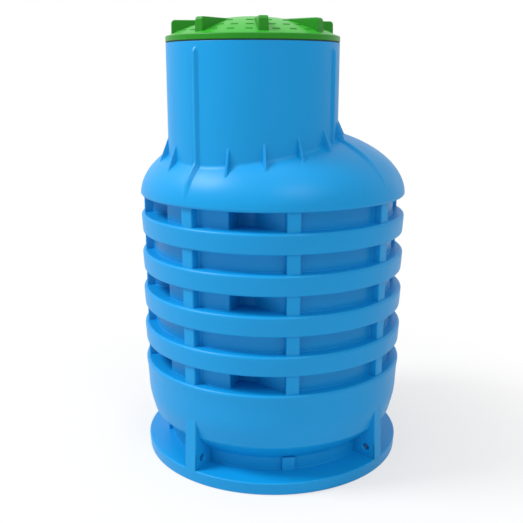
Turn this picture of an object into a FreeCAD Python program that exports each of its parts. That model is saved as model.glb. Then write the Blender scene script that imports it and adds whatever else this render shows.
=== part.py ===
import FreeCAD, Part
import os
import Sketcher

document = FreeCAD.newDocument("wellCaisson")

# Driving sizes in millimetres, angles in degrees and counts.
sizes = {
    "bodyRadius": 600,
    "wall": 10,
    "flangeInset": 3,
    "flangeHeight": 65,
    "flangeFall": 10,
    "flangeBend": 8,
    "pedestalInset": 112,
    "pedestalHeight": 120,
    "bowlEdge": 202,
    "bowlEdgeInset": 33,
    "bowlWaist": 290,
    "bowlWaistInset": 10.5,
    "bowlTop": 452,
    "hoopDepth": 52,
    "hoopHeight": 89.5,
    "hoopBend": 14,
    "gapHeight": 80,
    "hoopCount": 4,
    "postCount": 8,
    "postWidth": 60,
    "postReach": 38,
    "stepStart": 18,
    "stepMargin": 2,
    "stepDepth": 108,
    "stepNoseWidth": 76,
    "footInset": 2,
    "footGussetWidth": 60,
    "footHoleRadius": 15,
    "footHoleInset": 49,
    "footHoleRise": 38,
    "footBlockWidth": 58,
    "footBlockReach": 17,
    "footBlockRise": 5,
    "shoulderRise": 310,
    "neckRadius": 370,
    "neckOffset": 145,
    "neckRise": 340,
    "ribWidth": 24,
    "ribReach": 11,
    "ribEnd": 20,
    "sideRibTurn": 101.25,
    "finGrow": 3,
    "finInset": 2,
    "finRise": 14,
    "frontFinRise": 50,
    "gussetCount": 16,
    "gussetWidth": 22,
    "gussetTipWidth": 12,
    "gussetReach": 28,
    "gussetHeight": 75,
    "gussetSink": 50,
    "sealThickness": 5,
    "sealInset": 1,
    "lidRimHeight": 23,
    "lidOverhang": 1,
    "lidRise": 82,
    "lidWall": 8,
    "spigotClearance": 3,
    "spigotDepth": 60,
    "lugCount": 8,
    "lugWidth": 37,
    "lugInset": 27,
    "lugLength": 194,
    "lugRise": 65,
}
sheet = document.addObject("Spreadsheet::Sheet", "Size")
for row, (alias, number) in enumerate(sizes.items(), start=1):
    sheet.set(f"A{row}", alias)
    sheet.set(f"B{row}", str(number))
    sheet.setAlias(f"B{row}", alias)
document.recompute()

# Places that follow from the driving sizes, as expressions.
flangeRadius = "(Size.bodyRadius - Size.flangeInset)"
flangeRim = "(Size.flangeHeight - Size.flangeFall)"
flangeSide = f"({flangeRim} - Size.flangeBend)"
pedestalRadius = "(Size.bodyRadius - Size.pedestalInset)"
bowlWaistRadius = "(Size.bodyRadius - Size.bowlWaistInset)"
footHolePlace = f"({flangeRadius} - Size.footHoleInset)"
footEdge = (f"{flangeRadius} - Size.footInset", f"{bowlWaistRadius} - Size.footInset")
pedestalCore = f"({pedestalRadius} / 2)"
bowlEdgeRadius = "(Size.bodyRadius - Size.bowlEdgeInset)"
bowlSide = "(Size.bowlTop - Size.hoopBend * 3)"
barrelRadius = "(Size.bodyRadius - Size.hoopDepth)"
innerRadius = f"({barrelRadius} - Size.wall)"
stepNose = f"({barrelRadius} - Size.stepDepth)"
stepSpan = (
    "((360 / Size.postCount - Size.stepStart) * 1 deg"
    f" - asin((Size.postWidth / 2 + Size.stepMargin) / {barrelRadius}))"
)
pitch = "(Size.hoopHeight + Size.gapHeight)"
shoulderBase = f"(Size.bowlTop + Size.gapHeight + Size.hoopCount * {pitch})"
neckTop = f"({shoulderBase} + Size.shoulderRise + Size.neckRise)"
lidBase = f"({neckTop} + Size.sealThickness)"
lidRimTop = f"({lidBase} + Size.lidRimHeight)"
lidRadius = "(Size.neckRadius + Size.lidOverhang)"
lidRound = f"(({lidRadius} ^ 2 + Size.lidRise ^ 2) / (2 * Size.lidRise))"
lugOuter = f"({lidRadius} - Size.lugInset)"
spigotRadius = "(Size.neckRadius - Size.wall - Size.spigotClearance)"
# Gusset places that belong to the long ribs, counted from the front.
rightRibPlace = 5
backRibPlace = 8
leftRibPlace = 11
parts = []


def value(expression):
    result = sheet.evalExpression(expression)
    return float(getattr(result, "Value", result))


def bind(item, expressions):
    for path, expression in expressions.items():
        item.setExpression(path, expression)
    return item


def node(item, label):
    item.Label = label
    parts.append(item)
    return item


def turn(degrees):
    return FreeCAD.Rotation(FreeCAD.Vector(0, 0, 1), degrees)


def heading(degrees):
    # Angle from the front, -Y, towards +X, as a turn that points +X that way.
    return turn(degrees - 90)


# Two-dimensional outline whose corners follow the sheet; a corner with a bend is rounded.
def outlinePoints(corners):
    places = [(value(corner[0]), value(corner[1])) for corner in corners]
    points = []
    for index, corner in enumerate(corners):
        if len(corner) == 2:
            points.append((corner[0], corner[1], None))
            continue
        across, up, bend = corner
        for other, radius in ((index - 1, bend), ((index + 1) % len(corners), None)):
            stepAcross = places[other][0] - places[index][0]
            stepUp = places[other][1] - places[index][1]
            if abs(stepAcross) > abs(stepUp):
                side = "+" if stepAcross > 0 else "-"
                points.append((f"{across} {side} ({bend})", up, radius))
            else:
                side = "+" if stepUp > 0 else "-"
                points.append((across, f"{up} {side} ({bend})", radius))
    return points


def bendEdge(start, end, corner, radius):
    centre = start + end - corner
    direction = corner - centre
    direction.normalize()
    return Part.Arc(start, centre + direction * radius, end)


def outline(body, plane, corners):
    sketch = body.newObject("Sketcher::SketchObject", "outline")
    face = next(item for item in body.Origin.OriginFeatures if item.Role == plane)
    sketch.AttachmentSupport = (face, [""])
    sketch.MapMode = "FlatFace"
    points = outlinePoints(corners)
    places = [FreeCAD.Vector(value(across), value(up), 0) for across, up, bend in points]
    for index, (across, up, bend) in enumerate(points):
        start, end = places[index], places[(index + 1) % len(points)]
        if bend is None:
            sketch.addGeometry(Part.LineSegment(start, end), False)
            continue
        before = places[index - 1]
        flat = abs(before.y - start.y) < abs(before.x - start.x)
        corner = FreeCAD.Vector(end.x, start.y, 0) if flat else FreeCAD.Vector(start.x, end.y, 0)
        sketch.addGeometry(bendEdge(start, end, corner, value(bend)), False)
    joinOutline(sketch, points, places)
    return sketch


# Arcs may run either way, so the end that lies at a place is found by distance.
def endAt(sketch, index, place):
    first, second = (sketch.getPoint(index, end).distanceToPoint(place) for end in (1, 2))
    return 1 if first < second else 2


def joinOutline(sketch, points, places):
    ends = []
    for index, place in enumerate(places):
        last = (index - 1) % len(places)
        ends.append((last, endAt(sketch, last, place), index, endAt(sketch, index, place)))
    for (across, up, bend), place, joined in zip(points, places, ends):
        sketch.addConstraint(Sketcher.Constraint("Coincident", *joined))
        for kind, size, expression in (("DistanceX", place.x, across), ("DistanceY", place.y, up)):
            number = sketch.addConstraint(Sketcher.Constraint(kind, -1, 1, *joined[2:], size))
            sketch.setExpression(f"Constraints[{number}]", expression)
    for index, (across, up, bend) in enumerate(points):
        if bend is not None:
            number = sketch.addConstraint(Sketcher.Constraint("Radius", index, value(bend)))
            sketch.setExpression(f"Constraints[{number}]", bend)


# Solid of revolution about the vertical axis, from corners given as radius and height.
def turned(name, corners):
    body = document.addObject("PartDesign::Body", name)
    sketch = outline(body, "XZ_Plane", corners)
    revolution = body.newObject("PartDesign::Revolution", "revolution")
    revolution.Profile = sketch
    revolution.ReferenceAxis = (sketch, ["V_Axis"])
    revolution.Angle = 360
    body.Tip = revolution
    return body


# Upright prism from corners given as distance to the front and to the right.
def prism(name, corners, base, height):
    body = document.addObject("PartDesign::Body", name)
    sketch = outline(body, "XY_Plane", corners)
    pad = body.newObject("PartDesign::Pad", "pad")
    pad.Profile = sketch
    bind(pad, {"Length": height})
    body.Tip = pad
    body.Placement.Rotation = turn(-90)
    return bind(body, {"Placement.Base.z": base})


def cylinder(name, radius, base, height, backward="0"):
    item = document.addObject("Part::Cylinder", name)
    place = {"Placement.Base.y": f"-({backward})", "Placement.Base.z": base}
    return bind(item, {"Radius": radius, "Height": height, **place})


def common(name, base, tool):
    result = document.addObject("Part::Common", name)
    result.Base = base
    result.Tool = tool
    return result


def cut(name, base, *tools):
    for tool in tools:
        result = document.addObject("Part::Cut", name)
        result.Base = base
        result.Tool = tool
        base = result
    return base


def group(name, items):
    compound = document.addObject("Part::Compound", name)
    compound.Links = items
    return compound


# Box that reaches from one radius to another along a heading, centred on it.
def radialBox(name, degrees, inner, outer, width, base, top, backward="0"):
    box = document.addObject("Part::Box", name)
    direction = heading(degrees)
    box.Placement.Rotation = direction
    along = direction.multVec(FreeCAD.Vector(1, 0, 0))
    beside = direction.multVec(FreeCAD.Vector(0, 1, 0))
    half = f"({width}) / 2"
    return bind(
        box,
        {
            "Length": f"({outer}) - ({inner})",
            "Width": width,
            "Height": f"({top}) - ({base})",
            "Placement.Base.x": f"({inner}) * {along.x:.9f} - {half} * {beside.x:.9f}",
            "Placement.Base.y": f"({inner}) * {along.y:.9f} - {half} * {beside.y:.9f} - ({backward})",
            "Placement.Base.z": base,
        },
    )


# Base: plate, hollow flange that falls a little to its rim, and plain pedestal.
def makeBase():
    node(cylinder("basePlate", flangeRadius, "0", "Size.wall"), "base_plate")
    flange = turned(
        "flange",
        [
            (pedestalRadius, "Size.flangeHeight - Size.wall"),
            (f"{flangeRadius} - Size.wall", f"{flangeRim} - Size.wall"),
            (f"{flangeRadius} - Size.wall", "Size.wall"),
            (flangeRadius, "Size.wall"),
            (flangeRadius, flangeRim, "Size.flangeBend"),
            (pedestalRadius, "Size.flangeHeight"),
        ],
    )
    node(flange, "base_flange")
    pedestal = turned(
        "pedestal",
        [
            (pedestalRadius, "Size.wall"),
            (pedestalRadius, "Size.pedestalHeight"),
            (f"{pedestalRadius} - Size.wall", "Size.pedestalHeight"),
            (f"{pedestalRadius} - Size.wall", "Size.wall"),
        ],
    )
    node(pedestal, "pedestal")


# Bowl: the lowest bulge of the barrel, drawn in to the pedestal by a cone.
def makeBowl():
    outside = [
        (pedestalRadius, "Size.pedestalHeight"),
        (bowlEdgeRadius, "Size.bowlEdge"),
        (bowlWaistRadius, "Size.bowlWaist"),
        ("Size.bodyRadius", bowlSide),
        ("Size.bodyRadius", "Size.bowlTop", "Size.hoopBend"),
    ]
    inside = [
        (innerRadius, "Size.bowlTop"),
        (innerRadius, "Size.bowlTop - Size.wall"),
        ("Size.bodyRadius - Size.wall", "Size.bowlTop - Size.wall", "Size.hoopBend - Size.wall"),
        ("Size.bodyRadius - Size.wall", bowlSide),
        (f"{bowlWaistRadius} - Size.wall", "Size.bowlWaist"),
        (f"{bowlEdgeRadius} - Size.wall", "Size.bowlEdge + Size.wall / 2"),
        (f"{pedestalRadius} - Size.wall", "Size.pedestalHeight"),
    ]
    node(turned("bowl", outside + inside), "bottom_bowl")
    core = [
        (pedestalCore, "Size.bowlTop"),
        (pedestalCore, "Size.wall"),
        (flangeRadius, "Size.wall"),
        (flangeRadius, flangeRim, "Size.flangeBend"),
        (pedestalRadius, "Size.flangeHeight"),
    ]
    # The seam of the turned shape is set between the feet.
    seamTurn = 22.5
    footRoom = turned("footRoom", outside + core)
    footRoom.Placement.Rotation = turn(seamTurn)
    return footRoom


# Upright wedge along a heading, centred on it, that narrows from its foot to its top.
def wedge(name, degrees, inner, outer, width, base, height, backward="0"):
    item = document.addObject("Part::Wedge", name)
    item.Placement.Rotation = heading(degrees).multiply(FreeCAD.Rotation(FreeCAD.Vector(1, 0, 0), 90))
    return bind(
        item,
        {
            "Xmin": inner,
            "X2min": inner,
            "Xmax": outer[0],
            "X2max": outer[1],
            "Zmin": f"-({width[0]}) / 2",
            "Zmax": f"({width[0]}) / 2",
            "Z2min": f"-({width[1]}) / 2",
            "Z2max": f"({width[1]}) / 2",
            "Ymin": "0",
            "Ymax": height,
            "Placement.Base.y": f"-({backward})",
            "Placement.Base.z": base,
        },
    )


# Feet: four tall gussets with tie-down holes, and four low blocks between them.
def makeFeet(footRoom):
    for index, side in enumerate(("front", "right", "back", "left")):
        degrees = 90 * index
        width = "Size.footGussetWidth"
        plate = wedge(
            "footPlate", degrees, pedestalCore, footEdge, (width, width),
            flangeSide, f"Size.bowlWaist - {flangeSide}",
        )
        hole = document.addObject("Part::Cylinder", "footHole")
        hole.Placement.Rotation = heading(degrees).multiply(FreeCAD.Rotation(FreeCAD.Vector(1, 0, 0), 90))
        along = heading(degrees).multVec(FreeCAD.Vector(1, 0, 0))
        beside = heading(degrees).multVec(FreeCAD.Vector(0, 1, 0))
        bind(
            hole,
            {
                "Radius": "Size.footHoleRadius",
                "Height": f"{width} * 2",
                "Placement.Base.x": f"{footHolePlace} * {along.x:.9f} + {width} * {beside.x:.9f}",
                "Placement.Base.y": f"{footHolePlace} * {along.y:.9f} + {width} * {beside.y:.9f}",
                "Placement.Base.z": "Size.flangeHeight + Size.footHoleRise",
            },
        )
        node(cut("footGusset", plate, footRoom, hole), f"foot_gusset_{side}")
    blocks = [
        radialBox(
            "footBlock", 45 + 90 * index, pedestalCore, f"{pedestalRadius} + Size.footBlockReach",
            "Size.footBlockWidth", flangeSide, "Size.pedestalHeight + Size.footBlockRise",
        )
        for index in range(4)
    ]
    node(cut("footBlocks", group("footBlockSet", blocks), footRoom), "foot_blocks")


# Step pocket: a foothold moulded into the wall, open outside and standing out inside.
def stepCorner(along, beside):
    across = f"({along}) * cos(Size.stepStart) - ({beside}) * sin(Size.stepStart)"
    return across, f"({along}) * sin(Size.stepStart) + ({beside}) * cos(Size.stepStart)"


def makeStep(name, base):
    # The sloping wall is carried on past the barrel, so that it is cut off cleanly there.
    overrun = 1.35
    endAlong = f"({barrelRadius} * cos({stepSpan}))"
    endBeside = f"({barrelRadius} * sin({stepSpan}))"
    runAlong = f"({endAlong} - {stepNose})"
    runBeside = f"({endBeside} - Size.stepNoseWidth)"
    run = f"sqrt({runAlong} ^ 2 + {runBeside} ^ 2)"
    farAlong = f"{stepNose} + {overrun} * {runAlong}"
    farBeside = f"Size.stepNoseWidth + {overrun} * {runBeside}"
    outside = f"{barrelRadius} + Size.wall * 2"
    void = [
        stepCorner(outside, "0"),
        stepCorner(stepNose, "0"),
        stepCorner(stepNose, "Size.stepNoseWidth"),
        stepCorner(farAlong, farBeside),
    ]
    bend = f"Size.wall * ({run} - {runBeside}) / {runAlong}"
    skin = [
        stepCorner(outside, "-Size.wall"),
        stepCorner(f"{stepNose} - Size.wall", "-Size.wall"),
        stepCorner(f"{stepNose} - Size.wall", f"Size.stepNoseWidth + {bend}"),
        stepCorner(
            f"{farAlong} - Size.wall * {runBeside} / {run}",
            f"{farBeside} + Size.wall * {runAlong} / {run}",
        ),
    ]
    room = prism(name + "Room", void, base, "Size.gapHeight")
    block = prism(name + "Block", skin, f"{base} - Size.wall", "Size.gapHeight + Size.wall * 2")
    bore = cylinder(name + "Bore", innerRadius, f"{base} - Size.wall", "Size.gapHeight + Size.wall * 2")
    return room, cut(name, common(name + "Inside", block, bore), room)


def mirrored(name, item):
    mirror = document.addObject("Part::Mirroring", name)
    mirror.Source = item
    mirror.Normal = FreeCAD.Vector(1, 0, 0)
    return mirror


# Barrel: plain wall bands with posts, stacked with hollow hoops; every second band has steps.
def makeBarrel():
    bandCount = int(value("Size.hoopCount")) + 1
    postCount = int(value("Size.postCount"))
    for level in range(1, bandCount + 1):
        base = f"(Size.bowlTop + {bandCount - level} * {pitch})"
        band = turned(
            "band",
            [
                (innerRadius, base),
                (barrelRadius, base),
                (barrelRadius, f"{base} + Size.gapHeight"),
                (innerRadius, f"{base} + Size.gapHeight"),
            ],
        )
        if level % 2 == 1:
            room, step = makeStep("step", base)
            node(step, f"step_{level}_right")
            node(mirrored("stepMirror", step), f"step_{level}_left")
            band = cut("bandOpen", band, room, mirrored("roomMirror", room))
        node(band, f"barrel_band_{level}")
        posts = [
            radialBox(
                "post", 360 / postCount * index, f"{barrelRadius} / 2", f"{barrelRadius} + Size.postReach",
                "Size.postWidth", base, f"{base} + Size.gapHeight",
            )
            for index in range(postCount)
        ]
        barrel = cylinder("barrelRoom", barrelRadius, base, "Size.gapHeight")
        node(cut("posts", group("postSet", posts), barrel), f"posts_{level}")
        if level < bandCount:
            makeHoop(level, f"({base} - Size.hoopHeight)")


def makeHoop(level, base):
    inner = "Size.bodyRadius - Size.wall"
    hoop = turned(
        "hoop",
        [
            (innerRadius, base),
            ("Size.bodyRadius", base, "Size.hoopBend"),
            ("Size.bodyRadius", f"{base} + Size.hoopHeight", "Size.hoopBend"),
            (innerRadius, f"{base} + Size.hoopHeight"),
            (innerRadius, f"{base} + Size.hoopHeight - Size.wall"),
            (inner, f"{base} + Size.hoopHeight - Size.wall", "Size.hoopBend - Size.wall"),
            (inner, f"{base} + Size.wall", "Size.hoopBend - Size.wall"),
            (innerRadius, f"{base} + Size.wall"),
        ],
    )
    node(hoop, f"hoop_{level}")


# Upper half of an ellipsoid with a level base.
def halfDome(name, radius, rise, base):
    dome = document.addObject("Part::Ellipsoid", name)
    dome.Angle1 = 0
    return bind(dome, {"Radius1": rise, "Radius2": radius, "Radius3": radius, "Placement.Base.z": base})


# Shoulder and neck: a dome in four quarters on a flat ledge, with the neck set towards the front.
def makeTop():
    dome = halfDome("dome", "Size.bodyRadius", "Size.shoulderRise", shoulderBase)
    hollow = halfDome(
        "domeHollow", "Size.bodyRadius - Size.wall", "Size.shoulderRise - Size.wall * 2",
        f"{shoulderBase} + Size.wall",
    )
    mouth = cylinder("barrelMouth", innerRadius, shoulderBase, "Size.wall * 2")
    neckFoot = f"{shoulderBase} + Size.shoulderRise / 4"
    tall = f"{neckTop} - ({neckFoot})"
    neckRoom = cylinder("neckRoom", "Size.neckRadius", neckFoot, tall, "Size.neckOffset")
    neckHollow = cylinder("neckHollow", "Size.neckRadius - Size.wall", neckFoot, tall, "Size.neckOffset")
    ledgeRoom = cylinder("ledgeRoom", "Size.bodyRadius", shoulderBase, "Size.wall")
    node(cut("ledge", common("ledgeWhole", dome, ledgeRoom), mouth), "shoulder_ledge")
    shell = cut("shoulderShell", dome, hollow, ledgeRoom, neckRoom)
    for index, side in enumerate(("front", "right", "back", "left")):
        sector = cylinder("quarterRoom", "Size.bodyRadius * 2", shoulderBase, "Size.shoulderRise * 2")
        sector.Angle = 90
        sector.Placement.Rotation = heading(90 * index - 45)
        node(common("quarter", shell, sector), f"shoulder_{side}")
    node(cut("neckTube", neckRoom, neckHollow, hollow), "neck")
    makeRibs(dome, neckRoom, neckFoot)
    makeGussets(dome, neckRoom)


# Wedge for one of the even places round the foot of the neck.
def gussetWedge(index):
    degrees = 360 / value("Size.gussetCount") * index
    tall = "(Size.gussetHeight + Size.gussetSink)"
    reach = (
        f"sqrt(Size.neckRadius ^ 2 + Size.neckOffset ^ 2"
        f" + 2 * Size.neckRadius * Size.neckOffset * cos({degrees}))"
    )
    seat = f"{shoulderBase} + Size.shoulderRise * sqrt(1 - ({reach} / Size.bodyRadius) ^ 2)"
    return wedge(
        "gussetWedge", degrees, "Size.neckRadius - Size.gussetReach",
        (f"Size.neckRadius + Size.gussetReach * {tall} / Size.gussetHeight", "Size.neckRadius"),
        ("Size.gussetWidth", "Size.gussetTipWidth"),
        f"{seat} - Size.gussetSink", tall, "Size.neckOffset",
    )


# Long ribs: a strip down the neck and a fin that fades out over the shoulder. At the sides
# the strip stands in front of the fin, and a gusset fills the corner where the fin meets the neck.
def makeRibs(dome, neckRoom, neckFoot):
    ribTop = f"{neckTop} - Size.ribEnd"
    crest = "Size.neckRadius + Size.ribReach"
    shaft = cylinder("ribShaft", crest, neckFoot, f"{ribTop} - ({neckFoot})", "Size.neckOffset")
    finRadius = "Size.bodyRadius + Size.finGrow"
    lowFin = halfDome("lowFin", finRadius, "Size.shoulderRise + Size.finRise", shoulderBase)
    highFin = halfDome("highFin", finRadius, "Size.shoulderRise + Size.frontFinRise", shoulderBase)
    sideTurn = value("Size.sideRibTurn")
    halfway = "Size.neckRadius / 2"
    ribs = {
        "front": (0, 0, "Size.neckOffset", highFin, None),
        "right": (90, sideTurn, halfway, lowFin, rightRibPlace),
        "back": (180, 180, "0", lowFin, None),
        "left": (270, -sideTurn, halfway, lowFin, leftRibPlace),
    }
    for side, (finTurn, stripTurn, start, fin, corner) in ribs.items():
        slab = radialBox(
            "finSlab", finTurn, start, "Size.bodyRadius - Size.finInset", "Size.ribWidth",
            shoulderBase, neckTop,
        )
        strip = radialBox(
            "stripSlab", stripTurn, halfway, f"{crest} * 2", "Size.ribWidth", neckFoot, neckTop,
            "Size.neckOffset",
        )
        pieces = [common("fin", slab, fin), common("strip", strip, shaft)]
        if corner is not None:
            pieces.append(gussetWedge(corner))
        rib = document.addObject("Part::MultiFuse", "ribWhole")
        rib.Shapes = pieces
        node(cut("rib", rib, dome, neckRoom), f"neck_rib_{side}")


# Short gussets round the foot of the neck, left out where a long rib runs.
def makeGussets(dome, neckRoom):
    ribPlaces = {0, rightRibPlace, backRibPlace, leftRibPlace}
    places = [index for index in range(int(value("Size.gussetCount"))) if index not in ribPlaces]
    wedges = group("gussetSet", [gussetWedge(index) for index in places])
    node(cut("gussets", wedges, neckRoom, dome), "neck_gussets")


# Lid: seal, rim, spigot, domed cover and radial lugs, all about the neck's axis.
def ring(name, inner, outer, base, height):
    whole = cylinder(name + "Whole", outer, base, height, "Size.neckOffset")
    hole = cylinder(name + "Hole", inner, base, height, "Size.neckOffset")
    return cut(name, whole, hole)


def makeLid():
    sealInner = "Size.neckRadius - Size.wall - Size.spigotClearance + Size.sealInset"
    seal = ring("seal", sealInner, "Size.neckRadius - Size.sealInset", neckTop, "Size.sealThickness")
    node(seal, "lid_seal")
    spigotInner = f"{spigotRadius} - Size.wall"
    node(ring("rim", spigotInner, lidRadius, lidBase, "Size.lidRimHeight"), "lid_rim")
    spigotBase = f"{lidBase} - Size.spigotDepth"
    node(ring("spigot", spigotInner, spigotRadius, spigotBase, "Size.spigotDepth"), "lid_spigot")
    centre = f"{lidRimTop} + Size.lidRise - {lidRound}"
    ball = lidBall("lidBall", lidRound, centre)
    hollow = lidBall("lidHollow", f"{lidRound} - Size.lidWall", centre)
    room = cylinder("lidRoom", lidRadius, lidRimTop, "Size.lidRise", "Size.neckOffset")
    node(cut("lidCover", common("lidCap", ball, room), hollow), "lid_cover")
    lugCount = int(value("Size.lugCount"))
    lugs = [
        radialBox(
            "lugBox", 360 / lugCount * index, f"{lugOuter} - Size.lugLength", lugOuter, "Size.lugWidth",
            lidRimTop, f"{lidRimTop} + Size.lugRise", "Size.neckOffset",
        )
        for index in range(lugCount)
    ]
    node(cut("lugs", group("lugSet", lugs), ball), "lid_lugs")


def lidBall(name, radius, centre):
    ball = document.addObject("Part::Sphere", name)
    return bind(
        ball, {"Radius": radius, "Placement.Base.y": "-Size.neckOffset", "Placement.Base.z": centre}
    )


# Every object is checked before any file is written.
def writeParts():
    document.recompute()
    for item in document.Objects:
        if "Invalid" in item.State or "Error" in item.State:
            raise RuntimeError(f"{item.Name} failed: {item.State}")
    for item in parts:
        if item.Shape.isNull() or not item.Shape.isValid() or not item.Shape.Solids:
            raise RuntimeError(f"{item.Label} has no valid shape")
    os.makedirs("parts", exist_ok=True)
    for item in parts:
        item.Shape.exportStep(f"parts/{item.Label}.step")
        print(f"{item.Label}: {len(item.Shape.Solids)} solids, {item.Shape.Volume / 1e3:.1f} cm3")


makeBase()
makeFeet(makeBowl())
makeBarrel()
makeTop()
makeLid()
writeParts()
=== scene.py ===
import math

import bmesh
import bpy
import numpy as np
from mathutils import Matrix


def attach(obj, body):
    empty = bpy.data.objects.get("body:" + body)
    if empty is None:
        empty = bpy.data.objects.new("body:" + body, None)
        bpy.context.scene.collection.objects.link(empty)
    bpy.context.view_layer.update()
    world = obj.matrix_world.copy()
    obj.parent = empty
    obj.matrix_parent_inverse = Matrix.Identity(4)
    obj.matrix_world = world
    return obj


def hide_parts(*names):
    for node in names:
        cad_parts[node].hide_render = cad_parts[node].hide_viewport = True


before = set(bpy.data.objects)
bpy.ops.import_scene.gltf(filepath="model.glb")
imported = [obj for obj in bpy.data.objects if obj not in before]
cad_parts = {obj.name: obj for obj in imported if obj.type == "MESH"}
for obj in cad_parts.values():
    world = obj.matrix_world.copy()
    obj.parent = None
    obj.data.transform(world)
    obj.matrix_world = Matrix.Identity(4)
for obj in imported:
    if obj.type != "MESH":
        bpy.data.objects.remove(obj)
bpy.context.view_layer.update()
print("frame loaded")

# Sizes of pieces are millimetres, those of the stage and materials metres.
# Headings run from the front, -Y, towards +X.

meshing = {
    "metres": 0.001,
    "weld": 2e-5,
    "sliver": 1e-6,
    "crease": 38,
    "leastLength": 1e-9,
    "leastBend": 1e-6,
    "roundLimit": 0.999,
}


# Quads of a grid whose columns close into a ring; with wrap the rows close too.
def gridFaces(rows, columns, wrap):
    across = np.arange(columns)
    up = np.arange(rows if wrap else rows - 1)[:, None]
    nextAcross = (across + 1) % columns
    nextUp = (up + 1) % rows
    low, high = up * columns, nextUp * columns
    corners = (low + across, low + nextAcross, high + nextAcross, high + across)
    return np.stack(np.broadcast_arrays(*corners), -1).reshape(-1, 4)


# A piece from grids of points, welded, smooth but for edges over the crease angle.
def makePiece(name, grids, body, nodes, finish):
    points = []
    faces = []
    start = 0
    for grid, wrap in grids:
        rows, columns = grid.shape[:2]
        points.append(grid.reshape(-1, 3) * meshing["metres"])
        faces.append(gridFaces(rows, columns, wrap) + start)
        start += rows * columns
    mesh = bpy.data.meshes.new(name)
    mesh.from_pydata(np.concatenate(points), [], np.concatenate(faces).tolist())
    weld = bmesh.new()
    weld.from_mesh(mesh)
    bmesh.ops.remove_doubles(weld, verts=weld.verts, dist=meshing["weld"])
    bmesh.ops.dissolve_degenerate(weld, edges=weld.edges, dist=meshing["sliver"])
    weld.to_mesh(mesh)
    weld.free()
    mesh.shade_smooth()
    mesh.set_sharp_from_angle(angle=math.radians(meshing["crease"]))
    mesh.materials.append(finish)
    piece = bpy.data.objects.new(name, mesh)
    bpy.context.scene.collection.objects.link(piece)
    even = piece.modifiers.new("evenShading", "WEIGHTED_NORMAL")
    even.keep_sharp = True
    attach(piece, body)
    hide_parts(*nodes)


# Closed outline with rounded corners: each corner becomes a rational quadratic arc between the points
# that lie its round length before and after it, its middle weight the cosine of half the turn.
# corners has shape (corner, outline, 2), rounds (corner, outline).
def roundOff(corners, rounds, steps=6):
    back = np.roll(corners, 1, 0) - corners
    ahead = np.roll(corners, -1, 0) - corners
    backLength = np.maximum(np.linalg.norm(back, axis=-1), meshing["leastLength"])
    aheadLength = np.maximum(np.linalg.norm(ahead, axis=-1), meshing["leastLength"])
    both = np.maximum(rounds + np.roll(rounds, -1, 0), meshing["leastLength"])
    share = np.minimum(1, aheadLength / both)
    reach = (rounds * meshing["roundLimit"] * np.minimum(share, np.roll(share, 1, 0)))[..., None]
    back = back / backLength[..., None]
    ahead = ahead / aheadLength[..., None]
    bent = np.maximum(1 - (back * ahead).sum(-1), meshing["leastBend"])
    weight = np.sqrt(bent / 2)[..., None]
    outline = []
    for corner, first, last, cut, w, size in zip(corners, back, ahead, reach, weight, rounds):
        if not np.any(size):
            outline.append(corner[None])
            continue
        s = np.linspace(0, 1, steps)[:, None, None]
        bend = 2 * w * s * (1 - s)
        total = (1 - s) ** 2 + bend + s**2
        curve = (1 - s) ** 2 * (corner + first * cut) + bend * corner + s**2 * (corner + last * cut)
        outline.append(curve / total)
    return np.concatenate(outline)


# One outline from a list of (across, up, round).
def outlineOf(corners, steps=6):
    table = np.array(corners, float)
    return roundOff(table[:, None, :2], table[:, None, 2], steps)[:, 0]


# Points at a radius and a height, turned by a heading about an upright axis.
def place(radius, height, heading, centreY=0.0):
    return np.stack(
        np.broadcast_arrays(radius * np.sin(heading), centreY - radius * np.cos(heading), height), -1
    )


# Points in an upright plane through an axis: along the heading, beside it and up.
def inPlane(along, beside, up, heading, centreY=0.0):
    x = along * np.sin(heading) + beside * np.cos(heading)
    y = centreY - along * np.cos(heading) + beside * np.sin(heading)
    return np.stack(np.broadcast_arrays(x, y, up), -1)


# Outline of (radius, height) turned about an upright axis.
def lathe(outline, columns, centreY=0.0):
    heading = np.linspace(0, 2 * np.pi, columns, endpoint=False)
    return place(outline[:, :1], outline[:, 1:], heading[None], centreY)


# Loops of a loft with a point added at each end, so that both ends are closed.
def capped(loops):
    count = loops.shape[1]
    first = np.repeat(loops[:1].mean(1, keepdims=True), count, 1)
    last = np.repeat(loops[-1:].mean(1, keepdims=True), count, 1)
    return np.concatenate([first, loops, last])


# Shader maths: a wire is one socket, and operators on wires add Math nodes.
class Wire:
    def __init__(self, tree, socket=None):
        self.tree = tree
        self.socket = socket

    def make(self, kind, settings=None, inputs=None, output=0):
        made = self.tree.nodes.new(kind)
        for key, value in (settings or {}).items():
            setattr(made, key, value)
        for key, value in (inputs or {}).items():
            if isinstance(value, Wire):
                self.tree.links.new(value.socket, made.inputs[key])
            else:
                made.inputs[key].default_value = value
        return Wire(self.tree, made.outputs[output])

    def maths(self, operation, first, second):
        return self.make("ShaderNodeMath", {"operation": operation}, {0: first, 1: second})

    def blend(self, first, second):
        return self.make(
            "ShaderNodeMix", {"data_type": "RGBA"}, {0: self, 6: first, 7: second}, 2
        )

    def __add__(self, other):
        return self.maths("ADD", self, other)

    def __mul__(self, other):
        return self.maths("MULTIPLY", self, other)

    __radd__ = __add__
    __rmul__ = __mul__


def newMaterial(name):
    material = bpy.data.materials.new(name)
    material.use_nodes = True
    return material, Wire(material.node_tree), material.node_tree.nodes["Principled BSDF"]


def feed(wire, value, target):
    wire.tree.links.new(value.socket, target)


def noise(wire, spot, scale, detail):
    return wire.make("ShaderNodeTexNoise", {}, {"Vector": spot, "Scale": scale, "Detail": detail})


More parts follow.
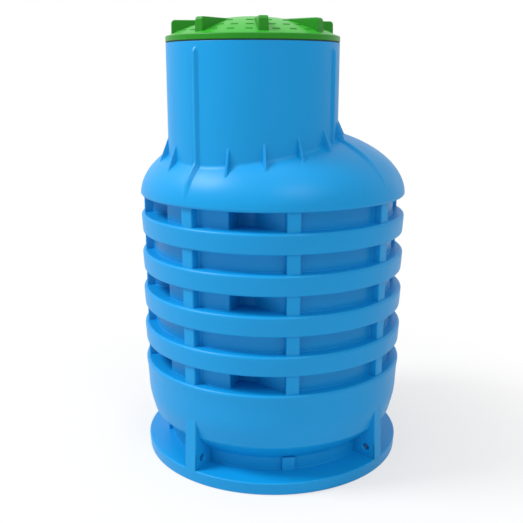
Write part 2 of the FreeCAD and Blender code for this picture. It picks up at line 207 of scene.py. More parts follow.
skin = {
    "cloudScale": 2.6,
    "cloudDetail": 3.0,
    "cloudShare": 0.75,
    "speckScale": 420.0,
    "speckDetail": 1.0,
    "speckShare": 0.25,
    "speckBump": 0.2,
    "peelScale": 95.0,
    "peelDetail": 2.0,
    "peelDepth": 0.002,
    "sheenScale": 9.0,
    "sheenDetail": 4.0,
}


# Moulded plastic: a cloudy tone, faint powder specks, a soft orange-peel skin and an uneven gloss.
# A look with painted-light tones takes them on above its two heights: a painted paler top, standing in for
# light from above.
def mouldedPlastic(name, look):
    material, wire, shader = newMaterial(name)
    spot = wire.make("ShaderNodeTexCoord", output="Object")
    cloud = noise(wire, spot, skin["cloudScale"], skin["cloudDetail"])
    speck = noise(wire, spot, skin["speckScale"], skin["speckDetail"])
    peel = noise(wire, spot, skin["peelScale"], skin["peelDetail"])
    sheen = noise(wire, spot, skin["sheenScale"], skin["sheenDetail"])
    tone = cloud * skin["cloudShare"] + speck * skin["speckShare"]
    tint = tone.blend(look["deep"], look["bright"])
    # Painted light: above the two heights the tone turns paler, as if lit from above.
    if "paintedLitDeep" in look:
        height = wire.make("ShaderNodeSeparateXYZ", {}, {0: spot}, 2)
        paintedLitShare = wire.make("ShaderNodeMapRange", {"interpolation_type": "SMOOTHSTEP"},
                          {"Value": height, "From Min": look["paintedLitFrom"], "From Max": look["paintedLitTo"]})
        tint = paintedLitShare.blend(tint, tone.blend(look["paintedLitDeep"], look["paintedLitBright"]))
    feed(wire, tint, shader.inputs["Base Color"])
    feed(wire, look["gloss"] + look["glossSpread"] * sheen, shader.inputs["Roughness"])
    relief = peel + speck * skin["speckBump"]
    bump = wire.make(
        "ShaderNodeBump", {}, {"Strength": look["peel"], "Distance": skin["peelDepth"], "Height": relief}
    )
    feed(wire, bump, shader.inputs["Normal"])
    shader.inputs["Specular IOR Level"].default_value = look["specular"]
    return material


# Rubber: one fine grain in its tone, gloss and relief.
def sealRubber(name, look):
    material, wire, shader = newMaterial(name)
    spot = wire.make("ShaderNodeTexCoord", output="Object")
    grain = noise(wire, spot, look["grainScale"], look["grainDetail"])
    feed(wire, grain.blend(look["deep"], look["bright"]), shader.inputs["Base Color"])
    feed(wire, look["gloss"] + look["glossSpread"] * grain, shader.inputs["Roughness"])
    bump = wire.make(
        "ShaderNodeBump", {}, {"Strength": look["grain"], "Distance": look["grainDepth"], "Height": grain}
    )
    feed(wire, bump, shader.inputs["Normal"])
    return material


blueLook = {
    "deep": (0.002, 0.275, 0.62, 1),
    "bright": (0.004, 0.315, 0.71, 1),
    "gloss": 0.34,
    "glossSpread": 0.14,
    "peel": 0.06,
    "specular": 0.24,
}
greenLook = {
    "deep": (0.012, 0.22, 0.008, 1),
    "bright": (0.02, 0.26, 0.014, 1),
    "gloss": 0.26,
    "glossSpread": 0.14,
    "peel": 0.06,
    "specular": 0.22,
}
# The lid's textured cover is painted paler than its rim and lugs: painted light from above, on the cover's
# top above the rim.
paintedLitCoverLook = {
    **greenLook,
    "paintedLitDeep": (0.022, 0.33, 0.015, 1),
    "paintedLitBright": (0.032, 0.39, 0.022, 1),
    "paintedLitFrom": 1.886,
    "paintedLitTo": 1.891,
}
rubberLook = {
    "deep": (0.004, 0.012, 0.014, 1),
    "bright": (0.012, 0.03, 0.035, 1),
    "gloss": 0.6,
    "glossSpread": 0.2,
    "grain": 0.2,
    "grainDepth": 0.001,
    "grainScale": 260.0,
    "grainDetail": 3.0,
}
bluePlastic = mouldedPlastic("bluePlastic", blueLook)
greenPlastic = mouldedPlastic("greenPlastic", greenLook)
paintedLitCoverPlastic = mouldedPlastic("paintedLitCoverPlastic", paintedLitCoverLook)
blackRubber = sealRubber("sealRubber", rubberLook)
print("materials made")

# Barrel tiers: from the middle of one hoop to the middle of the next, with the gap wall between.
barrel = {
    "hoopTop": 600.5,
    "hoopMiddle": 598,
    "hoopLow": 595,
    "gapRadius": 548,
    "wall": 10,
    "hoopRound": 14,
    "lowRound": 9,
    "footRound": 3,
    "gap": 80,
    "hoop": 89.5,
    "lowest": 452,
    "tiers": 5,
    "posts": 8,
    "postFace": 586,
    "postHalf": 30,
    "postFaceHalf": 28,
    "postRound": 5.0,
    "firstPost": -5,
    "planStart": -247.5,
    "pocketNose": 440,
    "pocketStart": 18.0,
    "pocketDraft": 0.45,
    "pocketNoseEnd": 27.8,
    "pocketNoseSlope": 7,
    "pocketNoseShift": 0.5,
    "pocketEndShift": 0.4,
    "pocketEndClear": 0.002,
    "pocketRounds": (6, 8, 14, 5),
    "bowlMeet": 400,
    "bowlRadius": 594.5,
    "shoulderMeet": 1222,
    "shoulderRim": 599.55,
    "shoulderRound": 11,
    "innerHoopRound": 5,
    "innerLedgeRound": 6,
    "innerRimRound": 8,
    "headings": 145,
    "leastTurn": 4e-5,
}


# Plan of a gap wall: radius against heading, corner list rounded, then read on one set of headings.
def gapPlan(pockets, offset):
    wall = barrel["gapRadius"] - offset
    pitch = math.tau / barrel["posts"]
    posts = pitch * (np.arange(barrel["posts"]) + barrel["firstPost"])
    foot = math.asin(barrel["postHalf"] / barrel["gapRadius"])
    corners = []
    if offset == 0:
        face = math.asin(barrel["postFaceHalf"] / barrel["postFace"])
        turns = posts[:, None] + np.array([-foot, -face, face, foot])
        radii = np.broadcast_to([wall, barrel["postFace"], barrel["postFace"], wall], turns.shape)
        corners = list(zip(turns.ravel(), radii.ravel(), np.full(turns.size, barrel["postRound"])))
    if pockets:
        slip = offset / barrel["gapRadius"]
        first = math.radians(barrel["pocketStart"]) - slip
        draft = math.radians(barrel["pocketDraft"])
        noseEnd = math.radians(barrel["pocketNoseEnd"]) + slip * barrel["pocketNoseShift"]
        last = pitch - foot - barrel["pocketEndClear"] + slip * barrel["pocketEndShift"]
        nose = barrel["pocketNose"] - offset
        pocketTurns = (first, first + draft, noseEnd, last)
        pocketRadii = (wall, nose, nose + barrel["pocketNoseSlope"], wall)
        right = list(zip(pocketTurns, pocketRadii, barrel["pocketRounds"]))
        corners += right + [(-turn, radius, bend) for turn, radius, bend in right]
    start = math.radians(barrel["planStart"])
    corners = [(start, wall, 0)] + sorted(corners) + [(start + math.tau, wall, 0)]
    plan = np.array(corners)
    plan[:, 0] *= barrel["gapRadius"]
    line = outlineOf(plan, steps=5)
    return line[:, 0] / barrel["gapRadius"], line[:, 1]


# Tier: at each heading a closed profile of rounded hoop edge, ledge, gap wall, ledge and hoop edge outside,
# and the same wall thickness inside.
def makeTier(level):
    pockets = level % 2 == 1
    outTurn, outRadius = gapPlan(pockets, 0)
    inTurn, inRadius = gapPlan(pockets, barrel["wall"])
    even = np.linspace(outTurn[0], outTurn[-1], barrel["headings"])
    turns = np.union1d(np.union1d(outTurn, inTurn), even)
    turns = turns[np.append(np.diff(turns) > barrel["leastTurn"], False)]
    wall = np.interp(turns, outTurn, outRadius)
    inner = np.interp(turns, inTurn, inRadius)
    low = barrel["lowest"] + (barrel["tiers"] - level) * (barrel["gap"] + barrel["hoop"])
    high = low + barrel["gap"]
    lowEnd = low - barrel["hoop"] / 2 if level < barrel["tiers"] else barrel["bowlMeet"]
    highEnd = high + barrel["hoop"] / 2 if level > 1 else barrel["shoulderMeet"]
    rim = barrel["hoopTop"]
    lowRim = barrel["hoopMiddle"] if level < barrel["tiers"] else barrel["bowlRadius"]
    topRim, topEnd, topRound = rim, barrel["shoulderRim"], barrel["shoulderRound"]
    if level > 1:
        topRim, topEnd, topRound = barrel["hoopLow"], barrel["hoopMiddle"], barrel["lowRound"]
    thick = barrel["wall"]
    depth = rim - wall
    edge = np.minimum(barrel["hoopRound"], depth)
    fill = np.clip(depth - barrel["hoopRound"], 0, barrel["footRound"])
    table = [
        (lowRim, lowEnd, 0),
        (rim, low, edge),
        (wall, low, fill),
        (wall, high, fill),
        (topRim, high, np.minimum(topRound, topRim - wall)),
        (topEnd, highEnd, 0),
        (topEnd - thick, highEnd, 0),
        (topEnd - thick, min(high + thick, highEnd - 1), barrel["innerHoopRound"] if level > 1 else 0),
        (inner, high + thick, barrel["innerLedgeRound"]),
        (inner, low - thick, barrel["innerLedgeRound"]),
        (rim - thick, low - thick, barrel["innerRimRound"]),
        (lowRim - thick, lowEnd, 0),
    ]
    corners = np.stack([
        np.stack(np.broadcast_arrays(r, z, turns)[:2], -1) for r, z, bend in table
    ]).astype(float)
    rounds = np.stack([np.broadcast_to(np.asarray(bend, float), turns.shape) for r, z, bend in table])
    profile = roundOff(corners, rounds, steps=7)
    grid = place(profile[..., 0], profile[..., 1], turns[None])
    nodes = [f"barrel_band_{level}", f"posts_{level}"]
    if pockets:
        nodes += [f"step_{level}_right", f"step_{level}_left"]
    if level < barrel["tiers"]:
        nodes.append(f"hoop_{level}")
    makePiece(f"barrelTier.{level}", [(grid, True)], "caisson", nodes, bluePlastic)


for level in range(1, barrel["tiers"] + 1):
    makeTier(level)
print("barrel made")

# Foot: bowl, cone, pedestal and flange as one turned shell.
foot = {
    "columns": 256,
    "outside": [
        (594.5, 400, 0), (591.5, 350, 30), (589.5, 290, 40), (567, 202, 7), (490, 124, 6), (488, 65, 3),
        (598, 56, 7), (594, 0, 6), (0, 0, 0),
    ],
    "inside": [
        (0, 10, 0), (478, 10, 8), (479, 126, 10), (556, 207, 16), (579.5, 290, 40), (581.5, 350, 30),
        (584.5, 400, 0),
    ],
}
footOutline = outlineOf(foot["outside"] + foot["inside"], steps=9)
makePiece(
    "footShell", [(lathe(footOutline[::-1], foot["columns"]), True)], "caisson",
    ["base_plate", "base_flange", "pedestal", "bottom_bowl"], bluePlastic,
)

# Low foot blocks: rounded uprights against the pedestal.
footBlock = {
    "half": 29,
    "inner": 482,
    "outer": 505,
    "base": 56,
    "straightTop": 115,
    "top": 127,
    "round": 5,
    "bendRows": 6,
}


# Upright with a rounded rectangular plan: plan loops at several heights, drawn in near the top.
def makeUpright(heading, inner, outer, half, levels, inset, bend):
    inset = np.asarray(inset, float)
    inner = np.broadcast_to(inner, inset.shape)
    outer = np.broadcast_to(outer, inset.shape)
    corners = np.stack([
        np.stack([inner, -half + inset], -1), np.stack([outer - inset, -half + inset], -1),
        np.stack([outer - inset, half - inset], -1), np.stack([inner, half - inset], -1),
    ])
    rounds = np.zeros(corners.shape[:2])
    rounds[1:3] = bend
    loops = roundOff(corners, rounds).transpose(1, 0, 2)
    heights = np.asarray(levels, float)[:, None]
    return capped(inPlane(loops[..., 0], loops[..., 1], heights, heading))


quarter = math.tau / 4
bendSteps = np.linspace(0, quarter, footBlock["bendRows"])
blockInset = np.append([0, 0], footBlock["round"] * (1 - np.cos(bendSteps)))
blockLevels = np.append(
    [footBlock["base"], footBlock["straightTop"]],
    footBlock["top"] - footBlock["round"] * (1 - np.sin(bendSteps)),
)
blocks = [
    (makeUpright(quarter * (side + 0.5), footBlock["inner"], footBlock["outer"], footBlock["half"],
                 blockLevels, blockInset, footBlock["round"]), False)
    for side in range(4)
]
makePiece("footBlocks", blocks, "caisson", ["foot_blocks"], bluePlastic)

# Tall foot gussets: an upright that follows the bowl, over a lower block with a through hole.
gusset = {
    "half": 30,
    "inner": 484,
    "outer": 597,
    "bed": 50,
    "outerTop": 587,
    "split": 128,
    "top": 315,
    "hole": 15,
    "holeRadius": 548,
    "holeHeight": 103,
    "round": 5,
    "lip": 3,
    "lap": 0.05,
    "sink": 6,
    "bendRows": 5,
    "ringPoints": 64,
    "ringShare": 0.94,
    "levels": 24,
}
bowlSide = footOutline[: footOutline[:, 1].argmin()]
bowlSide = bowlSide[np.argsort(bowlSide[:, 1])]


# Radius of the foot's outside at a height, read off its outline.
def bowlRadius(height):
    return np.interp(height, bowlSide[:, 1], bowlSide[:, 0])


# The outer face leans in evenly from its bed to its top.
def gussetOuter(height):
    return np.interp(height, [gusset["bed"], gusset["top"]], [gusset["outer"], gusset["outerTop"]])


# Lower block: rings of points from the hole's rim out to the block's outline on one side,
# over its rounded edge to the other side, and back through the hole.
def holedBlock(heading):
    turn = np.linspace(0, math.tau, gusset["ringPoints"], endpoint=False) + math.pi / 4
    hole = np.stack([np.cos(turn), np.sin(turn)], -1)
    box = hole / np.abs(hole).max(-1, keepdims=True)
    low = np.array([gusset["inner"], gusset["bed"]])
    high = np.array([gusset["outer"], gusset["split"] + gusset["lap"]])
    outline = (low + high) / 2 + box * (high - low) / 2
    lean = (outline[:, 0] - low[0]) / (high[0] - low[0])
    outline[:, 0] -= lean * (gusset["outer"] - gussetOuter(outline[:, 1]))
    centre = np.array([gusset["holeRadius"], gusset["holeHeight"]])
    rim = centre + hole * gusset["hole"]
    lip = centre + hole * (gusset["hole"] + gusset["lip"])
    inner = centre + (outline - centre) * gusset["ringShare"]
    bends = np.sin(np.linspace(0, quarter, gusset["bendRows"]))
    edge = [outline - box * gusset["round"] * (1 - b) * [1, 0] for b in bends]
    half, bend = gusset["half"], gusset["round"]
    side = [half - gusset["lip"], half, half] + list(half - bend * (1 - np.cos(np.arcsin(bends))))
    rows = [rim, lip, inner] + edge
    loops = np.stack(rows + rows[::-1])
    beside = np.array(side + [-s for s in side[::-1]])[:, None]
    return inPlane(loops[..., 0], beside, loops[..., 1], heading)


upperLevels = np.linspace(gusset["split"], gusset["top"], gusset["levels"])
for index, side in enumerate(("front", "right", "back", "left")):
    heading = quarter * index
    upper = makeUpright(heading, bowlRadius(upperLevels) - gusset["sink"], gussetOuter(upperLevels),
                        gusset["half"], upperLevels, np.zeros_like(upperLevels), gusset["round"])
    makePiece(f"footGusset.{side}", [(upper, False), (holedBlock(heading), True)], "caisson",
              [f"foot_gusset_{side}"], bluePlastic)
print("foot made")

# Shoulder and neck: one shell, a half ellipsoid that flares into an upright tube set towards the front.
top = {
    "radius": 600,
    "rise": 310,
    "innerRise": 290,
    "base": 1210,
    "innerBase": 1220,
    "meet": 1222,
    "wall": 10,
    "neck": 370,
    "offset": 145,
    "top": 1860,
    "flare": 11,
    "edge": 3,
    "columns": 256,
    "thread": 1.6,
    "threadPitch": 16,
    "threadStart": 6,
    "threadEnd": 62,
    "threadFade": 6,
    "domeRows": 30,
    "domeSpread": 0.85,
    "innerRows": 20,
    "flareRows": 10,
    "tubeRows": 8,
    "edgeRows": 5,
    "boreRows": 60,
}


# Height of the dome, a half ellipsoid, at a distance rho from the barrel's axis.
def domeHeight(rho, radius=top["radius"], rise=top["rise"], base=top["base"]):
    return base + rise * np.sqrt(np.maximum(1 - (rho / radius) ** 2, 0))


# Distance from the barrel's axis of a point at a distance d from the neck's axis, heading a.
def fromBarrel(d, a):
    return np.sqrt(d**2 + top["offset"] ** 2 + 2 * top["offset"] * d * np.cos(a))


# Along each heading from the neck's axis: the dome from its foot up to the flare, a quadratic flare
# tangent to dome and tube, the tube, its edge, then the threaded bore and the dome back inside.
def makeShoulder():
    turn = np.linspace(0, math.tau, top["columns"], endpoint=False)
    offset = top["offset"]

    def domeRows(radius, rise, base, foot, reach, count):
        start = np.arccos((foot - base) / rise)
        end = np.arcsin(fromBarrel(reach, turn) / radius)
        share = np.linspace(0, 1, count)[:, None] ** top["domeSpread"]
        angle = start + (end - start) * share
        rho = radius * np.sin(angle)
        d = -offset * np.cos(turn) + np.sqrt(rho**2 - (offset * np.sin(turn)) ** 2)
        return d, base + rise * np.cos(angle)

    reach = top["neck"] + top["flare"]
    outD, outZ = domeRows(top["radius"], top["rise"], top["base"], top["meet"], reach, top["domeRows"])
    slope = (outZ[-1] - outZ[-2]) / (outD[-1] - outD[-2])
    knee = outZ[-1] + slope * (top["neck"] - reach)
    s = np.linspace(0, 1, top["flareRows"])[1:, None]
    full = np.ones_like(turn)
    flareD = ((1 - s) ** 2 * reach + (1 - (1 - s) ** 2) * top["neck"]) * full
    flareZ = (1 - s) ** 2 * outZ[-1] + 2 * s * (1 - s) * knee + s**2 * (knee + top["flare"])
    edge = top["edge"]
    share = np.linspace(0, 1, top["tubeRows"])[1:, None]
    tubeZ = flareZ[-1] + (top["top"] - edge - flareZ[-1]) * share
    tubeD = np.full_like(tubeZ, top["neck"])
    bend = np.linspace(0, quarter, top["edgeRows"])[1:, None]
    edgeD = (top["neck"] - edge * (1 - np.cos(bend))) * full
    edgeZ = (top["top"] - edge + edge * np.sin(bend)) * full
    bore = top["neck"] - top["wall"]
    inRadius = top["radius"] - top["wall"]
    inD, inZ = domeRows(inRadius, top["innerRise"], top["innerBase"], top["meet"], bore, top["innerRows"])
    drop = np.linspace(0, 1, top["boreRows"])[:, None]
    boreZ = top["top"] + (inZ[-1] - top["top"]) * drop
    depth = top["top"] - boreZ
    worm = np.cos(math.tau * depth / top["threadPitch"] - turn)
    fromEnds = np.minimum(depth - top["threadStart"], top["threadEnd"] - depth)
    fade = np.clip(fromEnds / top["threadFade"], 0, 1)
    boreD = bore - top["thread"] * fade * np.clip(worm, 0, 1)
    d = np.concatenate([outD, flareD, tubeD, edgeD, boreD, inD[-2::-1]])
    z = np.concatenate([outZ, flareZ, tubeZ, edgeZ, boreZ, inZ[-2::-1]])
    nodes = ["shoulder_ledge", "neck"] + [f"shoulder_{side}" for side in ("front", "right", "back", "left")]
    makePiece("shoulderAndNeck", [(place(d, z, turn[None], -offset), True)], "caisson",
              nodes, bluePlastic)


makeShoulder()

# Ribs and gussets: upright fins whose section runs from a base line inside the wall to a crest line.
ribs = {
    "top": 1841,
    "tip": 26,
    "sink": 6,
    "end": 598,
    "crestRadius": 603,
    "crestBend": 9,
    "round": 3,
    "tipSink": 2,
    "endSink": 2,
    "fadePower": 8,
    "stripShare": 0.8,
    "tipRows": 7,
    "stripRows": 8,
    "bendRows": 7,
    "finRows": 26,
    "front": {"proud": 11, "rise": 360, "half": 22, "crestHalf": 4.5},
    "other": {"proud": 9, "rise": 324, "half": 17, "crestHalf": 5},
    "sideTurn": 101.25,
}
gussets = {
    "count": 16,
    "height": 76,
    "reach": 41,
    "half": 12,
    "tipHalf": 9,
    "crestHalf": 5,
    "crestSink": 1,
    "tipInset": 3,
    "downRows": 10,
    "outRows": 8,
    "withRibs": {"right": 5, "left": 11},
    "places": (1, 2, 3, 4, 6, 7, 9, 10, 12, 13, 14, 15),
}


# Section across the fin: a rounded trapezium between base and crest, carried along both lines.
def fin(base, crest, halfBase, halfCrest, heading, centreY):
    span = crest - base
    tall = np.linalg.norm(span, axis=-1)
    flat = np.zeros_like(tall)
    halfBase = flat + halfBase
    halfCrest = flat + halfCrest
    corners = np.stack([
        np.stack([halfBase, flat], -1), np.stack([halfCrest, tall], -1),
        np.stack([-halfCrest, tall], -1), np.stack([-halfBase, flat], -1),
    ])
    rounds = np.zeros(corners.shape[:2])
    rounds[1:3] = ribs["round"]
    loops = roundOff(corners, rounds).transpose(1, 0, 2)
    at = base[:, None] + span[:, None] * (loops[..., 1] / tall[:, None])[..., None]
    return capped(inPlane(at[..., 0], loops[..., 0], at[..., 1], heading, centreY))


# Quadratic curve from first to last, drawn towards its control point.
def bezier(first, control, last, count):
    s = np.linspace(0, 1, count)[:, None]
    return (1 - s) ** 2 * np.array(first) + 2 * s * (1 - s) * np.array(control) + s**2 * np.array(last)


# Height of a rib's crest, on an ellipsoid slightly larger than the dome.
def crestHeight(rho, look):
    return domeHeight(rho, ribs["crestRadius"], look["rise"])


# Strip down the neck: the crest swells out of the wall over its tip, then runs straight down to its foot.
def stripLines(neckAt, look, baseFoot, crestFoot):
    tipRows, rows, sunk = ribs["tipRows"], ribs["stripRows"], ribs["tipSink"]
    swell = np.append(np.sin(np.linspace(0, quarter, tipRows)), np.ones(rows))
    drop = np.append(np.linspace(0, ribs["tip"], tipRows), np.full(rows, ribs["tip"]))
    run = np.append(np.zeros(tipRows), np.linspace(0, 1, rows + 1)[1:])
    high = ribs["top"] - drop
    crest = np.stack([neckAt - sunk + (look["proud"] + sunk) * swell, high + (crestFoot - high) * run], -1)
    base = np.stack([np.full_like(high, neckAt - ribs["sink"]), high + (baseFoot - high) * run], -1)
    return base, crest


# Fin over the shoulder: the crest lies on a slightly larger ellipsoid and sinks into the dome at its end.
def finLines(start, baseStart, look):
    share = np.linspace(0, 1, ribs["finRows"])
    rho = start + (ribs["end"] - start) * share
    fade = share ** ribs["fadePower"]
    crestZ = crestHeight(rho, look) * (1 - fade) + (domeHeight(rho) - ribs["endSink"]) * fade
    baseRho = baseStart + (ribs["end"] - ribs["endSink"] - baseStart) * share
    return np.stack([baseRho, domeHeight(baseRho) - ribs["sink"]], -1), np.stack([rho, crestZ], -1)


# Rib in one plane through the barrel's axis: strip, tight bend at the foot of the neck, fin.
def wholeRib(neckAt, look, heading):
    crestAt = neckAt + look["proud"]
    bend = ribs["crestBend"]
    corner = (crestAt, float(crestHeight(crestAt, look)))
    bendEnd = (crestAt + bend, float(crestHeight(crestAt + bend, look)))
    strip = stripLines(neckAt, look, domeHeight(neckAt), corner[1] + bend)
    crestBend = bezier((crestAt, corner[1] + bend), corner, bendEnd, ribs["bendRows"])[1:-1]
    inside = neckAt - ribs["sink"]
    bendBase = (inside, domeHeight(inside) - ribs["sink"])
    baseBend = np.linspace((inside, domeHeight(neckAt)), bendBase, ribs["bendRows"])[1:-1]
    over = finLines(bendEnd[0], inside + 1, look)
    base = np.concatenate([strip[0], baseBend, over[0]])
    crest = np.concatenate([strip[1], crestBend, over[1]])
    return fin(base, crest, look["half"], look["crestHalf"], heading, 0)


# Gusset in a plane through the neck's axis: a straight crest from the tube down to the dome.
def neckGusset(heading):
    neck, sink = top["neck"], ribs["sink"]
    end = neck + gussets["reach"]
    foot, tip = domeHeight(fromBarrel(np.array([neck, end]), heading))
    high = foot + gussets["height"]
    share = np.linspace(0, 1, gussets["downRows"] + gussets["outRows"] - 1)[:, None]
    crestStart = np.array([neck - gussets["crestSink"], high])
    crestEnd = np.array([end, tip - gussets["crestSink"]])
    crest = crestStart * (1 - share) + crestEnd * share
    corner = (neck - sink, foot - sink)
    down = np.linspace((neck - sink, high), corner, gussets["downRows"])
    out = np.linspace(corner, (end - gussets["tipInset"], tip - sink), gussets["outRows"])[1:]
    half = gussets["tipHalf"] + (gussets["half"] - gussets["tipHalf"]) * share[:, 0]
    return fin(np.concatenate([down, out]), crest, half, gussets["crestHalf"], heading, -top["offset"])


# At the sides the strip stands in front of the fin, and a gusset fills the corner between fin and neck.
def sideRib(side, sign):
    look = ribs["other"]
    stripTurn = sign * math.radians(ribs["sideTurn"])
    foot = float(domeHeight(fromBarrel(top["neck"], stripTurn)))
    strip = stripLines(top["neck"], look, foot - ribs["sink"], foot - ribs["sink"])
    start = math.sqrt(top["neck"] ** 2 - top["offset"] ** 2) - ribs["sink"]
    over = finLines(start, start - 1, look)
    return [
        fin(*strip, look["half"] * ribs["stripShare"], look["crestHalf"], stripTurn, -top["offset"]),
        fin(*over, look["half"], look["crestHalf"], sign * quarter, 0),
        neckGusset(math.tau / gussets["count"] * gussets["withRibs"][side]),
    ]


ribGrids = {
    "front": [wholeRib(top["neck"] + top["offset"], ribs["front"], 0)],
    "right": sideRib("right", 1),
    "back": [wholeRib(top["neck"] - top["offset"], ribs["other"], math.pi)],
    "left": sideRib("left", -1),
}
for side, grids in ribGrids.items():
    makePiece(f"neckRib.{side}", [(grid, False) for grid in grids], "caisson",
              [f"neck_rib_{side}"], bluePlastic)
gussetGrids = [(neckGusset(math.tau / gussets["count"] * index), False) for index in gussets["places"]]
makePiece("neckGussets", gussetGrids, "caisson", ["neck_gussets"], bluePlastic)
print("shoulder and neck made")

# Lid: spigot, rim and domed cover as one turned shell, with lugs and anti-slip bars on it.
lid = {
    "base": 1865,
    "rim": 371,
    "rimTop": 1888,
    "rise": 82,
    "coverAt": 362,
    "spigot": 357,
    "spigotBase": 1805,
    "wall": 10,
    "coverWall": 8,
    "coverLip": 3,
    "underInset": 1,
    "spigotRound": 3,
    "baseRound": 2,
    "rimRound": 5,
    "coverRows": 26,
    "underRows": 20,
    "columns": 240,
}
# The cover is a cap of a sphere, whose radius follows from the width and the rise.
lidRound = (lid["coverAt"] ** 2 + lid["rise"] ** 2) / (2 * lid["rise"])
lidCentre = lid["rimTop"] + lid["rise"] - lidRound


# Height of the cap at a radius from the lid's axis.
def coverHeight(radius):
    return lidCentre + np.sqrt(lidRound**2 - radius**2)


# Turned outline: spigot, rim, the cap up to the axis, and its underside back to the spigot.
def makeLidShell():
    bore, lip = lid["spigot"] - lid["wall"], lid["coverLip"]
    reach = np.linspace(lid["coverAt"], 0, lid["coverRows"])
    cover = np.stack([reach, coverHeight(reach)], -1)
    under = np.linspace(0, bore - lid["underInset"], lid["underRows"])
    inside = np.stack([under, coverHeight(under) - lid["coverWall"]], -1)
    rim = outlineOf([
        (bore, lid["spigotBase"], lid["spigotRound"]),
        (lid["spigot"], lid["spigotBase"], lid["spigotRound"]),
        (lid["spigot"], lid["base"], 0),
        (lid["rim"], lid["base"], lid["baseRound"]),
        (lid["rim"], lid["rimTop"], lid["rimRound"]),
        (lid["coverAt"] + lip, lid["rimTop"], 0),
        (lid["coverAt"] + lip / 2, lid["rimTop"] - lip / 2, 0),
        (bore, lid["rimTop"], 0),
    ])[:-1]
    outline = np.concatenate([rim, cover, inside, [[bore, lid["base"]]]])
    grid = lathe(outline, lid["columns"], -top["offset"])
    nodes = ["lid_rim", "lid_spigot", "lid_cover"]
    makePiece("lidShell", [(grid, True)], "lid", nodes, paintedLitCoverPlastic)


makeLidShell()

lug = {
    "count": 8,
    "outer": 344,
    "inner": 148,
    "base": 1880.0,
    "top": 1953,
    "tall": 65,
    "half": 18.5,
    "draft": 2.5,
    "footSpread": 1,
    "cornerRound": 14,
    "edgeRound": 4,
    "bendRows": 5,
}


# Lug: its side outline (radius, height) drawn in towards each side face, so that every edge is rounded.
def lugGrid(heading):
    bend = np.linspace(0, quarter, lug["bendRows"])
    inset = lug["edgeRound"] * (1 - np.sin(bend))
    side = lug["half"] - lug["edgeRound"] * (1 - np.cos(bend))
    inset = np.concatenate([inset, inset[::-1]])
    side = np.concatenate([-side, side[::-1]])
    bottom = np.full_like(inset, lug["base"])
    outer = lug["outer"] - inset
    high = lug["top"] - inset
    inner = np.full_like(inset, lug["inner"])
    corners = np.stack([
        np.stack([inner, bottom], -1), np.stack([outer + lug["footSpread"], bottom], -1),
        np.stack([outer, high], -1), np.stack([inner, high], -1),
    ])
    rounds = np.zeros(corners.shape[:2])
    rounds[2] = lug["cornerRound"]
    loops = roundOff(corners, rounds, steps=8).transpose(1, 0, 2)
    along, up = loops[..., 0], loops[..., 1]
    beside = side[:, None] * (1 + lug["draft"] / lug["half"] * (lug["top"] - up) / lug["tall"])
    return capped(inPlane(along, beside, up, heading, -top["offset"])[:, ::-1])


# Each ring of bars: its radius, and degrees from the middle between two lugs.
bars = {
    "length": 30,
    "width": 9,
    "round": 2.5,
    "sink": 3,
    "rise": 2.6,
    "riseShares": (0.6, 0.78, 1.0),
    "insets": (0, 0, 0.4, 1.4),
    "rings": {322: (-13, 0, 13), 270: (-13, 0, 13), 203: (-12, 12)},
}


# Anti-slip bar: a rounded rectangle laid on the cover, drawn in towards its top.
def barGrid(radius, heading):
    inset = np.array(bars["insets"])
    rise = np.append(-bars["sink"], np.array(bars["riseShares"]) * bars["rise"])
    long, wide = bars["length"] / 2 - inset, bars["width"] / 2 - inset
    corners = np.stack([
        np.stack([-wide, -long], -1), np.stack([wide, -long], -1),
        np.stack([wide, long], -1), np.stack([-wide, long], -1),
    ])
    loops = roundOff(corners, np.full(corners.shape[:2], bars["round"]), steps=4).transpose(1, 0, 2)
    along = radius + loops[..., 0]
    beside = loops[..., 1]
    up = coverHeight(np.hypot(along, beside)) + rise[:, None]
    return capped(inPlane(along, beside, up, heading, -top["offset"]))


lugTurns = math.tau / lug["count"] * np.arange(lug["count"])
lugGrids = [(lugGrid(heading), False) for heading in lugTurns]
barGrids = [
    (barGrid(radius, heading + math.tau / lug["count"] / 2 + math.radians(step)), False)
    for heading in lugTurns
    for radius, steps in bars["rings"].items()
    for step in steps
]
makePiece("lidLugs", lugGrids + barGrids, "lid", ["lid_lugs"], greenPlastic)

seal = {"inner": 358, "outer": 369, "low": 1860, "high": 1865, "round": 2.2}
sealOutline = outlineOf([
    (seal["inner"], seal["low"], seal["round"]), (seal["outer"], seal["low"], seal["round"]),
    (seal["outer"], seal["high"], seal["round"]), (seal["inner"], seal["high"], seal["round"]),
], steps=5)
makePiece("sealRing", [(lathe(sealOutline, lid["columns"], -top["offset"]), True)], "lid_seal",
          ["lid_seal"], blackRubber)
print("lid made")

# Floor, lights and camera.
stage = {
    "distance": 3.529,
    "height": 1.730,
    "azimuth": 36.6,
    "pitch": 13.62,
    "yaw": 0.83,
    "lens": 53.01,
    "world": 0.52,
    "lampAim": 1.0,
    "floor": (0.8, 0.8, 0.8, 1),
    "floorRough": 0.9,
    "floorReach": 30,
    "floorCells": 4,
    "whiteNear": 0.7,
    "whiteFar": 2.2,
    "whiteUnder": 0.62,
}
lamps = {
    "keyLight": {"azimuth": -44, "elevation": 49, "distance": 12.0, "size": 4.0, "power": 1140},
    "fillLight": {"azimuth": 60, "elevation": 46, "distance": 8.0, "size": 3.0, "power": 140},
    "topLight": {"azimuth": 40, "elevation": 87, "distance": 5.0, "size": 1.2, "power": 24},
}


# One for rays that show the background: from the camera, mirrored or passed through.
def seenAsBackground(wire):
    outputs = ("Is Camera Ray", "Is Glossy Ray", "Is Transmission Ray")
    camera, glossy, passed = (wire.make("ShaderNodeLightPath", output=name) for name in outputs)
    return wire.maths("MAXIMUM", wire.maths("MAXIMUM", camera, glossy), passed)


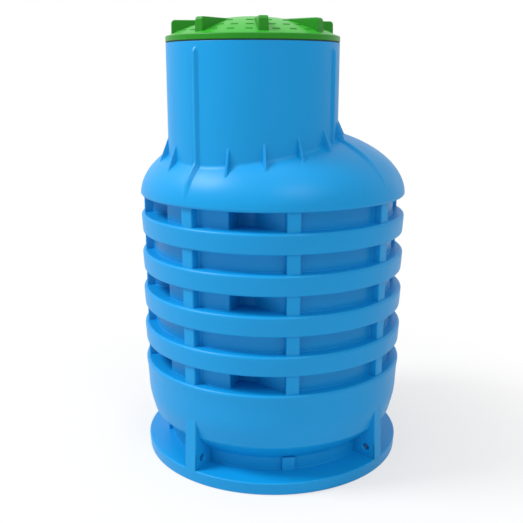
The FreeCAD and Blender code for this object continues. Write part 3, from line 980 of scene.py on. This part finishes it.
# The floor keeps the shadow near the object and turns into the white background with distance.
def makeFloor():
    cells = np.arange(stage["floorCells"])
    row = stage["floorCells"] + 1
    reach = np.linspace(-stage["floorReach"], stage["floorReach"], row)
    x, y = np.meshgrid(reach, reach)
    points = np.stack([x, y, np.zeros_like(x)], -1).reshape(-1, 3)
    corner = (cells[:, None] * row + cells).ravel()
    faces = np.stack([corner, corner + 1, corner + row + 1, corner + row], -1)
    mesh = bpy.data.meshes.new("floor")
    mesh.from_pydata(points, [], faces.tolist())
    floor = bpy.data.objects.new("floor", mesh)
    bpy.context.scene.collection.objects.link(floor)
    material, wire, shader = newMaterial("paleFloor")
    shader.inputs["Base Color"].default_value = stage["floor"]
    shader.inputs["Roughness"].default_value = stage["floorRough"]
    shader.inputs["Specular IOR Level"].default_value = 0.0
    spot = wire.make("ShaderNodeTexCoord", output="Object")
    away = wire.make("ShaderNodeVectorMath", {"operation": "LENGTH"}, {0: spot}, "Value")
    far = wire.make("ShaderNodeMapRange", {"interpolation_type": "SMOOTHSTEP"},
                    {"Value": away, "From Min": stage["whiteNear"], "From Max": stage["whiteFar"],
                     "To Min": stage["whiteUnder"], "To Max": 1.0})
    seen = seenAsBackground(wire) * far
    white = wire.make("ShaderNodeEmission", {}, {"Color": (1, 1, 1, 1), "Strength": 1.0})
    surface = wire.make("ShaderNodeMixShader", {}, {0: seen, 1: Wire(wire.tree, shader.outputs[0]), 2: white})
    feed(wire, surface, wire.tree.nodes["Material Output"].inputs["Surface"])
    mesh.materials.append(material)


def makeWorld():
    world = bpy.data.worlds.new("studio")
    bpy.context.scene.world = world
    world.use_nodes = True
    wire = Wire(world.node_tree)
    strength = stage["world"] + (1 - stage["world"]) * seenAsBackground(wire)
    background = world.node_tree.nodes["Background"]
    background.inputs["Color"].default_value = (1, 1, 1, 1)
    feed(wire, strength, background.inputs["Strength"])


# Each lamp stands at its azimuth and elevation from a point on the axis, and faces it.
def makeLamps():
    for name, lamp in lamps.items():
        light = bpy.data.lights.new(name, "AREA")
        light.shape = "DISK"
        light.size = lamp["size"]
        light.energy = lamp["power"]
        holder = bpy.data.objects.new(name, light)
        turn, lift = math.radians(lamp["azimuth"]), math.radians(lamp["elevation"])
        flat = lamp["distance"] * math.cos(lift)
        high = stage["lampAim"] + lamp["distance"] * math.sin(lift)
        holder.location = (flat * math.sin(turn), -flat * math.cos(turn), high)
        holder.rotation_euler = (math.pi / 2 - lift, 0, turn)
        bpy.context.scene.collection.objects.link(holder)


def makeCamera():
    camera = bpy.data.objects.new("camera", bpy.data.cameras.new("camera"))
    camera.data.lens = stage["lens"]
    turn = math.radians(stage["azimuth"])
    away = stage["distance"]
    camera.location = (away * math.sin(turn), -away * math.cos(turn), stage["height"])
    camera.rotation_euler = (
        math.pi / 2 - math.radians(stage["pitch"]), 0, turn + math.radians(stage["yaw"])
    )
    bpy.context.scene.collection.objects.link(camera)
    bpy.context.scene.camera = camera


makeFloor()
makeWorld()
makeLamps()
makeCamera()
bpy.context.scene.view_settings.view_transform = "Standard"
print("stage made")
